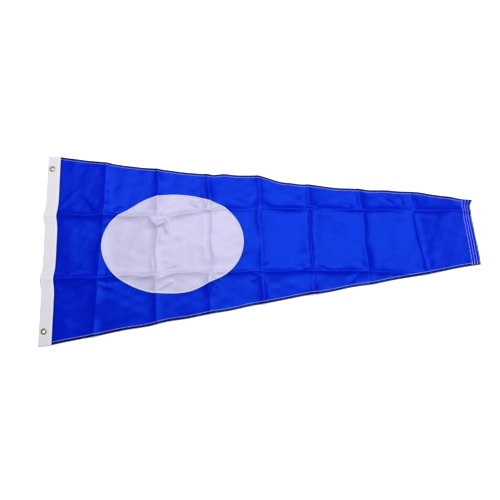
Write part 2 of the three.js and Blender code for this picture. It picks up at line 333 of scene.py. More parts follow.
def relief(u, v, pinched):
    """How high the creases, the tucks and the swells stand above the resting cloth."""
    top, bottom = long_crease(u, 0), long_crease(u, 1)
    in_top = smooth((v - top) / CREASE_BLEND + 0.5)
    in_bottom = smooth((bottom - v) / CREASE_BLEND + 0.5)
    total = wrinkles(u, v) + pinched
    for i, (upper, centre, lower) in enumerate(CROSS_FOLDS):
        here = centre * (1 - in_top - in_bottom) + upper * in_top + lower * in_bottom
        here = here * (1 + CREASE_CHANGE * ripples(u * 0 + i, v, 70 * MM, SEEDS["cross_sharpness"] + i))
        wander = CREASE_WANDER * ripples(u * 0, v, 90 * MM, SEEDS["cross_wander"] + i)
        total = total + fold(u - cross_crease(v, i + 1) - wander, here, CROSS_WIDTH)
    for row, sharpness in enumerate(LONG_FOLDS):
        column = sum(smooth((u - cross_crease(v, i)) / CREASE_BLEND + 0.5) for i in range(1, PANELS))
        i = np.minimum(column.astype(int), PANELS - 2)
        values = np.array(sharpness)
        here = values[i] + (values[i + 1] - values[i]) * (column - i)
        here = here * (1 + CREASE_CHANGE * ripples(u, v * 0 + row, 80 * MM, SEEDS["long_sharpness"] + row))
        wander = CREASE_WANDER * ripples(u, v * 0, 110 * MM, SEEDS["long_wander"] + row)
        total = total + fold(v - long_crease(u, row) - wander, here, LONG_WIDTH)
    broad = BROAD_SHARE * ripples(u, v, BROAD_SWELL, SEEDS["broad"])
    small = SMALL_SHARE * ripples(u, v, SMALL_SWELL, SEEDS["small"])
    swell = PILLOW * (0.9 + broad + small) + FINE_HEIGHT * ripples(u, v, FINE_SWELL, SEEDS["fine"])
    total = total + (swell + np.sqrt(swell**2 + REST_ROUNDING**2)) / 2
    return RELIEF_LIMIT * np.tanh(total / RELIEF_LIMIT)


def surface(u, v):
    """Where the point (u, v, LEVEL) of the flat model lies."""
    across = v / half_height(u)
    y = v + edge_shift(u, 1) * smooth(across) - edge_shift(u, -1) * smooth(-across)
    bulge = sum(np.exp(-(((v - long_crease(u * 0 + HOIST_X, row)) / BULGE_WIDTH) ** 2)) for row in (0, 1))
    x = u - HEADING_BULGE * bulge * np.exp(-(u - HOIST_X) / BULGE_REACH)
    for angle, depth in PUCKERS:
        out_u, out_v = ELLIPSE_A * math.cos(angle), ELLIPSE_B * math.sin(angle)
        far = np.hypot(u - ELLIPSE_X - out_u, v - out_v)
        pull = depth * np.exp(-((far / PUCKER_REACH) ** 2)) / math.hypot(out_u, out_v)
        x, y = x - out_u * pull, y - out_v * pull
    x = x - END_LEAN * smooth((v / END_HALF + 1) / 2) * np.exp((u - END_X) / END_LEAN_REACH)
    curl = np.exp(-(((u - END_X) / CURL_LENGTH) ** 2) - ((v - END_HALF) / CURL_HEIGHT) ** 2)
    x = x + CORNER_REACH * curl
    from_heading = smooth((u - HEADING_X) / HEADING_SLOPE)
    free = smooth((u - HEADING_X + STIFF_INSET) / STIFF_RUN)
    to_grommet = np.abs(np.abs(v) - middle("upper_grommet_eyelet").y)
    slack = smooth(to_grommet / SLACK_REACH) * HEADING_SLACK
    rest = (LEVEL - slack) * (1 - from_heading) + FLY_REST * from_heading
    rest = rest + END_RISE * smooth((u - END_X + END_RISE_FROM) / END_RISE_RUN)
    pinched = tucks(u, v)
    y = y - FLOP * pinched
    z = rest + relief(u, v, pinched) * (HEADING_RELIEF + (1 - HEADING_RELIEF) * free) + CORNER_LIFT * curl
    for row in (0, 1):
        z = z + fold(v - long_crease(u, row), HEADING_FOLD, LONG_WIDTH) * (1 - free)
    return np.stack([x, y, z], -1)


def lay(points):
    """Carries points of the flat model onto the laid surface."""
    u, v, w = np.asarray(points, float).T
    at = surface(u, v)
    step_u = surface(u + EPSILON, v) - surface(u - EPSILON, v)
    step_v = surface(u, v + EPSILON) - surface(u, v - EPSILON)
    normal = np.cross(step_u, step_v)
    normal /= np.linalg.norm(normal, axis=1)[:, None]
    return at + (w - LEVEL)[:, None] * normal


# ---- Materials ---------------------------------------------------------------------------------------


class Shader:
    """A node material, with the Principled shader's sockets filled by name."""

    def __init__(self, name):
        self.material = bpy.data.materials.new(name)
        self.material.use_nodes = True
        self.tree = self.material.node_tree
        self.principled = self.tree.nodes["Principled BSDF"]

    def add(self, kind, operation=None, **inputs):
        made = self.tree.nodes.new("ShaderNode" + kind)
        if operation:
            made.operation = operation
        for key, value in inputs.items():
            self.put(made, int(key[1:]) if key[0] == "_" else key, value)
        return made

    def put(self, node, key, value):
        if isinstance(value, bpy.types.Node):
            value = value.outputs[0]
        if isinstance(value, bpy.types.NodeSocket):
            self.tree.links.new(value, node.inputs[key])
        else:
            node.inputs[key].default_value = value

    def math(self, operation, a, b=0.0, c=0.0):
        return self.add("Math", operation, _0=a, _1=b, _2=c)

    def set(self, **inputs):
        for key, value in inputs.items():
            self.put(self.principled, key.replace("_", " "), value)

    def attribute(self, name):
        made = self.tree.nodes.new("ShaderNodeAttribute")
        made.attribute_name = name
        return made

    def noise(self, vector, scale, detail=3.0):
        return self.add("TexNoise", Vector=vector, Scale=scale, Detail=detail)

    def mix(self, factor, a, b):
        made = self.tree.nodes.new("ShaderNodeMix")
        made.data_type = "RGBA"
        colour = [s for s in made.inputs if s.type == "RGBA"]
        for socket, value in ((made.inputs[0], factor), (colour[0], a), (colour[1], b)):
            if isinstance(value, bpy.types.Node):
                value = value.outputs[0]
            if isinstance(value, bpy.types.NodeSocket):
                self.tree.links.new(value, socket)
            else:
                socket.default_value = value
        return next(s for s in made.outputs if s.type == "RGBA")

    def bump(self, height, strength, distance):
        return self.add("Bump", Height=height, Strength=strength, Distance=distance)


def plain_weave(shader, pitch):
    """(height, vector) of a plain weave of yarns a pitch apart, on the flat cloth."""
    flat = shader.attribute("flat").outputs["Vector"]
    place = shader.add("SeparateXYZ", Vector=flat)
    turns = math.pi / pitch
    warp = shader.math("SINE", shader.math("MULTIPLY", place.outputs[0], turns))
    weft = shader.math("SINE", shader.math("MULTIPLY", place.outputs[1], turns))
    return shader.math("MULTIPLY", warp, weft), flat


NYLON_YARN = 0.35 * MM
WEAR_AND_HIGHLIGHT_SHARE = 0.12  # share of the pale colour at a crease: dye worn there, and a painted highlight on its crest
PLIES_SHADE = 0.2  # how dark the painted shade over several plies is, as a share of the deep colour
SEAM_SHADE = 0.35  # and of the painted shadow beside a seam,
SEAM_SHADE_RUN = (0.5 * MM, 6 * MM)  # which fades out between these distances from it


def nylon(name, colour, deep, pale, gloss, gloss_tint):
    """Coated flag nylon: fine weave, soft sheen, paler along its creases for wear and as a painted highlight,
    and darker with painted shade where it is several plies and with a painted shadow just outside its seams."""
    shader = Shader(name)
    weave, flat = plain_weave(shader, NYLON_YARN)
    mottle = shader.noise(flat, 14)
    streaks = shader.noise(shader.add("Mapping", Vector=flat, Scale=(12, 260, 1)), 1, 2)
    tone = shader.math("MULTIPLY_ADD", mottle, 0.5, shader.math("MULTIPLY", streaks, 0.5))
    body = shader.mix(tone, deep, colour)
    # Paler along the creases: the dye's wear there, and a painted highlight on their crests.
    crease_wear_and_highlight = shader.math("MULTIPLY", shader.attribute("crease_wear_and_highlight").outputs["Fac"], WEAR_AND_HIGHLIGHT_SHARE)
    body = shader.mix(crease_wear_and_highlight, body, pale)
    # Painted shade over several plies, for the hems' curl and for the light that doesn't shine through them.
    plies = shader.attribute("plies").outputs["Fac"]
    body = shader.mix(plies, body, tuple(c * PLIES_SHADE for c in deep[:3]) + (1,))
    # Painted shadow just outside the ellipse's seam and along the heading's edge, fading out over
    # SEAM_SHADE_RUN.
    place = shader.add("SeparateXYZ", Vector=flat)
    across = shader.math("DIVIDE", shader.math("SUBTRACT", place.outputs[0], ELLIPSE_X), ELLIPSE_A)
    up = shader.math("DIVIDE", place.outputs[1], ELLIPSE_B)
    square = shader.math("ADD", shader.math("POWER", across, 2), shader.math("POWER", up, 2))
    out = shader.math("SQRT", square)
    from_rim = shader.math("MULTIPLY", shader.math("SUBTRACT", out, 1), (ELLIPSE_A + ELLIPSE_B) / 2)
    from_heading = shader.math("SUBTRACT", place.outputs[0], HEADING_X)
    for far in (from_rim, from_heading):
        seam_shadow = shader.add("MapRange", Value=far)
        for key, value in zip(("From Min", "From Max", "To Min", "To Max"), (*SEAM_SHADE_RUN, 1, 0)):
            seam_shadow.inputs[key].default_value = value
        outside = shader.math("GREATER_THAN", far, 0)
        shade = shader.math("MULTIPLY", seam_shadow, outside)
        body = shader.mix(shade, body, tuple(c * SEAM_SHADE for c in deep[:3]) + (1,))
    shader.set(Base_Color=body, Specular_IOR_Level=gloss, Specular_Tint=gloss_tint)
    shader.set(Sheen_Weight=0.06, Sheen_Roughness=0.4, Sheen_Tint=gloss_tint)
    rough = shader.math("MULTIPLY_ADD", shader.noise(flat, 60), 0.10, 0.27)
    shader.set(Roughness=rough)
    grain = shader.bump(weave, 0.25, 0.06 * MM)
    shader.set(Normal=grain)
    return shader.material


SELVEDGE_COLOUR = (0.85, 0.86, 0.96, 1)


def duck(name, colour, shade, pitch):
    """Cotton canvas: a coarse plain weave with thick and thin yarns, matt and a little grubby, but whiter
    where the "selvedge" attribute says so."""
    shader = Shader(name)
    weave, flat = plain_weave(shader, pitch)
    slubs = shader.noise(shader.add("Mapping", Vector=flat, Scale=(700, 60, 1)), 1, 2)
    soil = shader.noise(flat, 22, 5)
    tone = shader.math("MULTIPLY_ADD", slubs, 0.4, shader.math("MULTIPLY", soil, 0.6))
    body = shader.mix(tone, shade, colour)
    selvedge = shader.attribute("selvedge").outputs["Fac"]
    body = shader.mix(selvedge, body, SELVEDGE_COLOUR)
    shader.set(Base_Color=body, Roughness=0.92, Specular_IOR_Level=0.15)
    shader.set(Sheen_Weight=0.3, Sheen_Roughness=0.6, Sheen_Tint=(1, 1, 1, 1))
    height = shader.math("MULTIPLY_ADD", slubs, 0.5, weave)
    shader.set(Normal=shader.bump(height, 0.7, 0.16 * MM))
    return shader.material


THREAD_LAY = 0.9 * MM  # length along the thread in which a ply winds a third of the way round
THREAD_PLIES = 3.0


def twisted_thread(name, colour, shade):
    """Bonded polyester thread: three plies twisted together, with a slight shine and painted shade in the
    grooves between them.
    """
    shader = Shader(name)
    place = shader.add("SeparateXYZ", Vector=shader.attribute("flat").outputs["Vector"])
    lead = shader.math("MULTIPLY", place.outputs[0], 2 * math.pi / THREAD_LAY)
    strand = shader.math("SINE", shader.math("MULTIPLY_ADD", place.outputs[1], THREAD_PLIES, lead))
    # Painted shade: the colour is darker where the bump is low, in the grooves between the plies.
    body = shader.mix(shader.math("MULTIPLY_ADD", strand, 0.5, 0.5), shade, colour)
    shader.set(Base_Color=body, Roughness=0.5, Specular_IOR_Level=0.4)
    shader.set(Normal=shader.bump(strand, 0.5, 0.06 * MM))
    return shader.material


def brass(name):
    """Drawn brass, with tarnish blotched over it at random and a fine noise grain in its bump."""
    shader = Shader(name)
    place = shader.tree.nodes.new("ShaderNodeTexCoord").outputs["Object"]
    tarnish = shader.noise(place, 500, 5)
    body = shader.mix(tarnish, (0.40, 0.345, 0.21, 1), (0.19, 0.16, 0.09, 1))
    rough = shader.math("MULTIPLY_ADD", shader.noise(place, 1800, 3), 0.25, 0.3)
    shader.set(Base_Color=body, Metallic=1.0, Roughness=rough)
    shader.set(Normal=shader.bump(shader.noise(place, 3000, 2), 0.15, 0.03 * MM))
    return shader.material


# The pale colours go on the creases, for wear and as a painted highlight; the deep ones, darkened, are the
# painted shade and shadow.
BLUE = ((0.001, 0.010, 0.56, 1), (0.001, 0.007, 0.50, 1), (0.02, 0.06, 0.74, 1))  # colour, deep and pale
WHITE = ((0.525, 0.505, 0.705, 1), (0.47, 0.45, 0.66, 1), (0.585, 0.565, 0.765, 1))
BLUE_NYLON = nylon("blue_nylon", *BLUE, 0.5, (0.02, 0.17, 1, 1))
WHITE_NYLON = nylon("white_nylon", *WHITE, 0.35, (0.85, 0.85, 1, 1))
CANVAS = duck("heading_canvas", (0.85, 0.825, 0.88, 1), (0.75, 0.725, 0.78, 1), 0.55 * MM)
WEBBING = duck("webbing", (0.70, 0.66, 0.58, 1), (0.60, 0.56, 0.48, 1), 0.8 * MM)
THREAD = twisted_thread("white_thread", (0.76, 0.80, 1, 1), (0.64, 0.68, 0.95, 1))
BRASS = brass("brass")

# ---- Making meshes -----------------------------------------------------------------------------------


def piece(name, points, faces, material, replaces, attributes=None):
    """A smooth mesh object that rides on the pennant and stands for CAD nodes."""
    mesh = bpy.data.meshes.new(name)
    mesh.from_pydata([tuple(p) for p in points], [], [tuple(int(i) for i in f) for f in faces])
    mesh.update()
    mesh.materials.append(material)
    mesh.shade_smooth()
    for key, values in (attributes or {}).items():
        values = np.asarray(values, np.float32)
        kind = "FLOAT" if values.ndim == 1 else "FLOAT_VECTOR"
        made = mesh.attributes.new(key, kind, "POINT")
        made.data.foreach_set("value" if kind == "FLOAT" else "vector", values.ravel())
    made = bpy.data.objects.new(name, mesh)
    bpy.context.scene.collection.objects.link(made)
    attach(made, "root")
    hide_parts(*replaces)
    return made


def quads(rows, columns, wrap=False):
    """The faces of a grid of rows x columns points; wrap joins the last column to the first."""
    i, j = np.meshgrid(np.arange(rows - 1), np.arange(columns if wrap else columns - 1), indexing="ij")
    right = (j + 1) % columns
    corners = [i * columns + j, i * columns + right, (i + 1) * columns + right, (i + 1) * columns + j]
    return np.stack(corners, -1).reshape(-1, 4)


def thicken(points, normals, faces, thickness):
    """Closes a sheet: its front and back, and a rim along every free edge. Returns points and faces."""
    n = len(points)
    edges = np.concatenate([faces[:, [k, (k + 1) % 4]] for k in range(4)])
    keys = edges[:, 0] * n + edges[:, 1]
    free = edges[~np.isin(keys, edges[:, 1] * n + edges[:, 0])]
    rim = np.stack([free[:, 1], free[:, 0], free[:, 0] + n, free[:, 1] + n], 1)
    both = np.concatenate([points + normals * thickness / 2, points - normals * thickness / 2])
    return both, np.concatenate([faces, faces[:, ::-1] + n, rim])


def used_only(points, faces, *values):
    """Leaves out the points that no face uses."""
    used = np.unique(faces)
    renumber = np.zeros(len(points), int)
    renumber[used] = np.arange(len(used))
    return (points[used], renumber[faces], *(v[used] for v in values))


# ---- The cloth grid ----------------------------------------------------------------------------------


FINE_STEP, COARSE_STEP, STEP_GROWTH = 1.3 * MM, 2.7 * MM, 1.15
GRID_PASSES = 6  # how often cloth_point() fits u and v to each other


def graded(length):
    """Shares from 0 to 1 with small steps at both ends, where the creases are."""
    steps, step, half = [], FINE_STEP, 0
    while half < length / 2:
        steps.append(step)
        half += step
        step = min(step * STEP_GROWTH, COARSE_STEP)
    places = np.concatenate([[0], np.cumsum(steps + steps[::-1])])
    return places / places[-1]


def grid_lines(length, count):
    """The grid's lines across count panels that are length long together, numbered by panel."""
    return np.concatenate([i + graded(length / count)[:-1] for i in range(count)] + [[float(count)]])


COLUMNS = grid_lines(LENGTH, PANELS)
ROWS = grid_lines(2 * FLY_HALF, THIRDS)


def cloth_point(column, row):
    """(u, v) of a place in the grid whose lines follow the creases: column from 0, the heading's edge, to
    PANELS, the fly end, and row from 0, by the lower hem, to THIRDS, by the upper hem."""
    u = HEADING_X + (END_X - HEADING_X) * column / PANELS
    v = np.zeros_like(u)
    i = np.minimum(column.astype(int), PANELS - 1)
    for _ in range(GRID_PASSES):
        limit = half_height(u) - HEM_ROOM
        room = limit - SIDE_HEM
        lower, upper = np.maximum(long_crease(u, 1), -room), np.minimum(long_crease(u, 0), room)
        lines = [-limit, lower, upper, limit]
        j = np.minimum(row.astype(int), THIRDS - 1)
        low, high = np.choose(j, lines[:-1]), np.choose(j, lines[1:])
        v = low + (high - low) * (row - j)
        starts = [cross_crease(v, k) for k in range(PANELS + 1)]
        left, right = np.choose(i, starts[:-1]), np.choose(i, starts[1:])
        u = left + (right - left) * (column - i)
    return u, v


OUTER_BEND_POINTS, INNER_BEND_POINTS = 6, 5


def hem_steps(width):
    return max(1, round(width / HEM_STEP))


def turned_hem(inner, outer_radius, inner_radius, width, end):
    """A doubly turned hem's section, from the flat cloth outwards, one row each: (distance in from the folded
    edge, height above the flat cloth, normal's outward and upward parts)."""
    turn = width - inner_radius
    rows = [(a, 0, 0, 1) for a in np.linspace(inner, outer_radius, hem_steps(inner) + 1)[:-1]]
    for angle in np.linspace(math.pi / 2, 1.5 * math.pi, OUTER_BEND_POINTS):
        c, s = math.cos(angle), math.sin(angle)
        rows.append((outer_radius + outer_radius * c, outer_radius * s - outer_radius, -c, s))
    under = np.linspace(outer_radius, turn, hem_steps(width) + 1)[1:-1]
    rows += [(a, -2 * outer_radius, 0, -1) for a in under]
    for angle in np.linspace(1.5 * math.pi, 2.5 * math.pi, INNER_BEND_POINTS):
        c, s = math.cos(angle), math.sin(angle)
        up = inner_radius - 2 * outer_radius + inner_radius * s
        rows.append((turn + inner_radius * c, up, -c, s))
    flap = 2 * inner_radius - 2 * outer_radius
    rows += [(a, flap, 0, 1) for a in np.linspace(turn, end, hem_steps(width) + 1)[1:]]
    return np.array(rows)


def inside_ellipse(u, v, inset):
    return ((u - ELLIPSE_X) / (ELLIPSE_A - inset)) ** 2 + (v / (ELLIPSE_B - inset)) ** 2


def fit_to_ellipse(points, faces, inset, keep_inside):
    """Keeps the faces inside or outside an ellipse, and moves their cut edge onto it."""
    centres = points[faces].mean(1)
    inside = inside_ellipse(centres[:, 0], centres[:, 1], inset) < 1
    kept, cut = (faces[inside], faces[~inside]) if keep_inside else (faces[~inside], faces[inside])
    edge = np.intersect1d(kept, cut)
    out = np.sqrt(inside_ellipse(points[edge, 0], points[edge, 1], inset))
    points = points.copy()
    points[edge, 0] = ELLIPSE_X + (points[edge, 0] - ELLIPSE_X) / out
    points[edge, 1] = points[edge, 1] / out
    return points, kept


def crease_wear_and_highlight(points):
    """How near each point is to a crease, from 0 to 1, where the dye and the finish have cracked and where a
    painted highlight runs along the crest.
    """
    u, v = points[:, 0], points[:, 1]
    near = sum(np.exp(-((u - cross_crease(v, i + 1)) / (1.5 * MM)) ** 2) for i in range(PANELS - 1))
    near = near + sum(np.exp(-((v - long_crease(u, row)) / (1.5 * MM)) ** 2) for row in (0, 1))
    return np.clip(near, 0, 1)


# ---- The fly -----------------------------------------------------------------------------------------

CORNER_RADIUS = 0.64 * MM  # the fly hem turns round the side hems' three plies at its corners
SIDE_INNER = 1.1  # where a side hem's section starts, in side hem widths
END_STOP = 0.2 * MM  # the cloth's own grid stops this far short of the fly end
END_INNER = 0.3 * MM  # and the fly hem's section starts this far in, and two radii
FLAP_BEND = 3  # the points of its inner bend that are trimmed with the fly hem's flap
# Painted shade over the plies of a side hem and of the fly end, for their curl and for the light that shines
# through one ply but not through several: how far in, and over what distance.
SIDE_PLIES_SHADE = (4.6 * MM, 1.4 * MM)
END_PLIES_SHADE = (3 * MM, 1.2 * MM)
END_PLIES_SHADE_SHARE = 0.8


def make_fly():
    tuck = np.array([TUCK_X, (TUCK_X + HEADING_X) / 2])
    column, row = np.meshgrid(COLUMNS, ROWS, indexing="xy")
    u, v = cloth_point(column.ravel(), row.ravel())
    u, v = u.reshape(column.shape), v.reshape(column.shape)
    u = np.concatenate([np.broadcast_to(tuck, (len(u), 2)), u], 1)
    v = np.concatenate([v[:, :1], v[:, :1], v], 1)

    # Turn the long edges under. Each row of the section takes its place in from the edge.
    section = turned_hem(SIDE_HEM * SIDE_INNER, PLY, PLY / 2, SIDE_HEM, SIDE_FLAP)
    flat_rows = [(u[i], v[i], 0, 0, 1) for i in range(len(u))]
    hems = {}
    for side in (1, -1):
        edge_u = u[-1] if side > 0 else u[0]
        limit = half_height(edge_u)
        hems[side] = [(edge_u, side * (limit - a), up, side * out, lift) for a, up, out, lift in section]
    rows = hems[-1][::-1] + flat_rows + hems[1]
    u = np.array([r[0] for r in rows])
    v = np.array([r[1] for r in rows])
    w = np.array([np.full(u.shape[1], r[2]) for r in rows])
    normal = np.array([np.tile([0, r[3], r[4]], (u.shape[1], 1)) for r in rows], float)

    # Turn the fly end under, round whatever plies are there.
    to_edge = half_height(END_X) - np.abs(v[:, -1])
    at_corner = 1 - smooth((to_edge - SIDE_HEM) / SIDE_HEM)
    radius = PLY + (CORNER_RADIUS - PLY) * at_corner
    keep = u.max(0) < END_X - END_STOP
    u, v, w, normal = u[:, keep], v[:, keep], w[:, keep], normal[:, keep]
    ends = []
    for bend in radius:
        ends.append(turned_hem(END_INNER + 2 * bend, bend, bend / 2, FLY_HEM, FLY_FLAP)[1:])
    ends = np.array(ends)
    inward, drop, out, lift = (ends[:, :, k] for k in range(4))
    end_w = drop + lift * w[:, -1:]
    end_u = END_X - inward + out * w[:, -1:]
    last = normal[:, -1]
    sideways = np.repeat(last[:, 1:2], out.shape[1], 1)
    end_normal = np.stack([out * last[:, 2:], sideways, lift * last[:, 2:]], -1)
    end_v = np.sign(v[:, -1:]) * (half_height(END_X) - to_edge[:, None]) * np.ones_like(end_u)
    taper = (half_height(end_u) - END_HALF) * np.clip(np.abs(end_v) / END_HALF, 0, 1)
    end_v = end_v + np.sign(end_v) * taper
    u, v = np.concatenate([u, end_u], 1), np.concatenate([v, end_v], 1)
    w, normal = np.concatenate([w, end_w], 1), np.concatenate([normal, end_normal], 1)

    count_rows, count_columns = u.shape
    points = np.stack([u, v, w], -1).reshape(-1, 3)
    normals = normal.reshape(-1, 3)
    normals = normals / np.linalg.norm(normals, axis=1)[:, None]
    faces = quads(count_rows, count_columns)

    # The hidden flap of the fly hem is trimmed away over the side hems.
    columns_of = faces[:, 0] % count_columns
    rows_of = faces[:, 0] // count_columns
    flap = (columns_of >= count_columns - FLAP_BEND - hem_steps(FLY_HEM)) & (at_corner[rows_of] > 0)
    faces = faces[~flap]

    single = (points[:, 2] > -PLY / 2) & (points[:, 0] < END_X - FLY_HEM)
    fitted, faces = fit_to_ellipse(points, faces, ELLIPSE_OVERLAP, keep_inside=False)
    points = np.where(single[:, None], fitted, points)
    points[:, 2] += FLY_FRONT - PLY / 2
    points, faces, normals = used_only(points, faces, normals)

    flat = points.copy()
    closed, faces = thicken(points, normals, faces, NYLON)
    # The plies attribute holds painted shade: the cloth is darker over the side hems and the fly end's hem.
    inset = half_height(closed[:, 0]) - np.abs(closed[:, 1])
    plies = 1 - smooth((inset - SIDE_PLIES_SHADE[0]) / SIDE_PLIES_SHADE[1])
    at_end = smooth((END_X - closed[:, 0] - END_PLIES_SHADE[0]) / END_PLIES_SHADE[1])
    plies = np.maximum(plies, END_PLIES_SHADE_SHARE - END_PLIES_SHADE_SHARE * at_end)
    values = {"flat": np.tile(flat, (2, 1)), "crease_wear_and_highlight": crease_wear_and_highlight(closed), "plies": plies}
    return piece("fly", lay(closed), faces, BLUE_NYLON, ["fly_panel"], values)


def make_ellipse():
    column, row = np.meshgrid(COLUMNS, ROWS, indexing="xy")
    u, v = cloth_point(column.ravel(), row.ravel())
    points = np.stack([u, v, np.full_like(u, (ELLIPSE_LOW.z + ELLIPSE_HIGH.z) / 2)], -1)
    points, faces = fit_to_ellipse(points, quads(*column.shape), 0, keep_inside=True)
    points, faces = used_only(points, faces)
    normals = np.tile([0.0, 0.0, 1.0], (len(points), 1))
    closed, faces = thicken(points, normals, faces, NYLON)
    values = {"flat": closed, "crease_wear_and_highlight": crease_wear_and_highlight(closed), "plies": np.zeros(len(closed))}
    return piece("ellipse", lay(closed), faces, WHITE_NYLON, ["white_ellipse"], values)


# ---- The heading -------------------------------------------------------------------------------------

GROMMETS = {side: middle(f"{side}_grommet_eyelet") for side in ("upper", "lower")}
SELVEDGE = 4.2 * MM
HEADING_STEP, WEBBING_STEP = 2.5 * MM, 4 * MM
CUT_RADIUS = 4.1 * MM  # of the holes punched for the grommets


def strip_rows(half, step):
    """Places along the hoist, finer round the grommets."""
    places = set(np.linspace(-half, half, int(2 * half / step) + 1).round(6))
    for centre in GROMMETS.values():
        places |= set((centre.y + np.arange(-9.0, 10.0) * MM).round(6))
    places = np.array(sorted(places))
    return places[np.concatenate([[True], np.diff(places) > 0.3 * MM])]


def punch(points, faces):
    """Leaves out the faces in the grommet holes and rounds the holes' edges."""
    centres = points[faces].mean(1)
    points = points.copy()
    keep = np.ones(len(faces), bool)
    for centre in GROMMETS.values():
        keep &= np.hypot(centres[:, 0] - centre.x, centres[:, 1] - centre.y) > CUT_RADIUS
    edge = np.intersect1d(faces[keep], faces[~keep])
    for centre in GROMMETS.values():
        offset = points[edge, :2] - np.array(centre[:2])
        distance = np.hypot(*offset.T)
        near = distance < 3 * CUT_RADIUS
        onto = offset[near] * (CUT_RADIUS / distance[near])[:, None]
        points[edge[near], :2] = np.array(centre[:2]) + onto
    return points, faces[keep]


def make_heading():
    front, back = HEADING_HIGH.z - DUCK / 2, HEADING_LOW.z + DUCK / 2
    radius = (front - back) / 2
    bend_x = HOIST_X + radius + DUCK / 2
    runs = np.linspace(HEADING_X, bend_x + 3 * MM, 24)
    section = [(x, back, 0, -1) for x in runs]
    for angle in np.linspace(1.5 * math.pi, math.pi / 2, 9):
        c, s = math.cos(angle), math.sin(angle)
        section.append((bend_x + radius * c, (front + back) / 2 + radius * s, c, s))
    section += [(x, front, 0, 1) for x in runs[::-1]]
    section = np.array(section)
    places = strip_rows(HEADING_HALF, HEADING_STEP)
    count = len(section)
    points = np.zeros((len(places), count, 3))
    points[:, :, 0], points[:, :, 1], points[:, :, 2] = section[:, 0], places[:, None], section[:, 1]
    normals = np.zeros_like(points)
    normals[:, :, 0], normals[:, :, 2] = section[:, 2], section[:, 3]
    points, normals = points.reshape(-1, 3), normals.reshape(-1, 3)
    path = np.concatenate([[0], np.cumsum(np.hypot(*np.diff(section[:, :2], axis=0).T))])
    flat = np.stack([np.tile(path, len(places)), np.repeat(places, count), points[:, 2]], -1)
    faces = quads(len(places), count)
    points, faces = punch(points, faces)
    points, faces, normals, flat = used_only(points, faces, normals, flat)
    closed, faces = thicken(points, normals, faces, DUCK)
    selvedge = 1 - smooth((HEADING_X - closed[:, 0] - SELVEDGE) / MM)
    values = {"flat": np.tile(flat, (2, 1)), "selvedge": selvedge}
    return piece("heading", lay(closed), faces, CANVAS, ["heading_tape"], values)


def make_webbing():
    places = strip_rows(WEBBING_HIGH.y, WEBBING_STEP)
    across = np.linspace(WEBBING_LOW.x, WEBBING_HIGH.x, 20)
    v, u = np.meshgrid(places, across, indexing="ij")
    points = np.stack([u.ravel(), v.ravel(), np.full(u.size, (WEBBING_LOW.z + WEBBING_HIGH.z) / 2)], -1)
    faces = quads(len(places), len(across))
    points, faces = punch(points, faces)
    points, faces = used_only(points, faces)
    normals = np.tile([0.0, 0.0, 1.0], (len(points), 1))
    closed, faces = thicken(points, normals, faces, WEBBING_HIGH.z - WEBBING_LOW.z)
    flat = {"flat": closed}
    return piece("webbing", lay(closed), faces, WEBBING, ["heading_webbing"], flat)


# ---- Grommets ----------------------------------------------------------------------------------------

TURNS = 96


def arc(centre, radius, start, end, steps=7):
    angles = np.radians(np.linspace(start, end, steps))
    return [(centre[0] + radius * math.cos(a), centre[1] + radius * math.sin(a)) for a in angles]


def turned(name, profile, node, grommet):
    """A ring turned from a closed profile of (radius, height), set at a grommet's place on the cloth."""
    profile = np.array(profile)
    angles = np.linspace(0, 2 * math.pi, TURNS, endpoint=False)
    radii, heights = profile.T
    around = [np.outer(np.cos(angles), radii), np.outer(np.sin(angles), radii), np.tile(heights, (TURNS, 1))]
    ring = np.stack(around, -1)
    count = len(profile)
    faces = quads(TURNS + 1, count, wrap=True)[:, [0, 3, 2, 1]] % (TURNS * count)
    seat = lay([[grommet.x, grommet.y, LEVEL]])[0]
    points = ring.reshape(-1, 3) + seat - np.array([0, 0, LEVEL])
    return piece(name, points, faces, BRASS, [node])


def make_grommets():
    bore, flange, neck, brass_sheet, bend = (x * MM for x in (3.2, 7.15, 4.9, 0.45, 0.9))
    crown_radius, washer_bore, washer_corner = 5.3 * MM, 4.05 * MM, 0.18 * MM
    for side, grommet in GROMMETS.items():
        low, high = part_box(f"{side}_grommet_eyelet")
        rim = HEADING_HIGH.z + 0.02 * MM
        top = high.z
        thin = bend - brass_sheet
        profile = arc((neck, low.z + brass_sheet / 2), brass_sheet / 2, -90, 90)
        profile += arc((bore + bend, low.z + bend), thin, 270, 180)
        profile += arc((bore + bend, top - bend), thin, 180, 90)
        inner = flange - brass_sheet - crown_radius
        under, quarter = top - brass_sheet - rim, math.pi / 2
        turns = np.linspace(0, quarter, 7)
        profile += [(crown_radius + inner * math.sin(t), rim + under * math.cos(t)) for t in turns]
        outer, turns = flange - crown_radius, np.linspace(quarter, 0, 9)
        profile += [(crown_radius + outer * math.sin(t), rim + (top - rim) * math.cos(t)) for t in turns]
        profile += arc((bore + bend, top - bend), bend, 90, 180)
        profile += arc((bore + bend, low.z + bend), bend, 180, 270)
        turned(f"{side}_eyelet", profile, f"{side}_grommet_eyelet", grommet)
        low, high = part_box(f"{side}_grommet_washer")
        ring = arc((flange - washer_corner, low.z + washer_corner), washer_corner, -90, 0, 4)
        ring += arc((flange - washer_corner, high.z - washer_corner), washer_corner, 0, 90, 4)
        ring += [(washer_bore, high.z), (washer_bore, low.z)]
        turned(f"{side}_washer", ring, f"{side}_grommet_washer", grommet)


# ---- Thread ------------------------------------------------------------------------------------------

STITCH = 2.6 * MM
THREAD_RADIUS = 0.27 * MM
ZIGZAG_RADIUS = 0.42 * MM
SIDES = 6
ZIGZAG_PITCH = 1.1 * MM
ZIGZAG_WIDTH = 3 * MM
ZIGZAG_OUT = 0.4 * MM  # how far outside the ellipse its outer holes lie
BACKTACK = 9 * MM


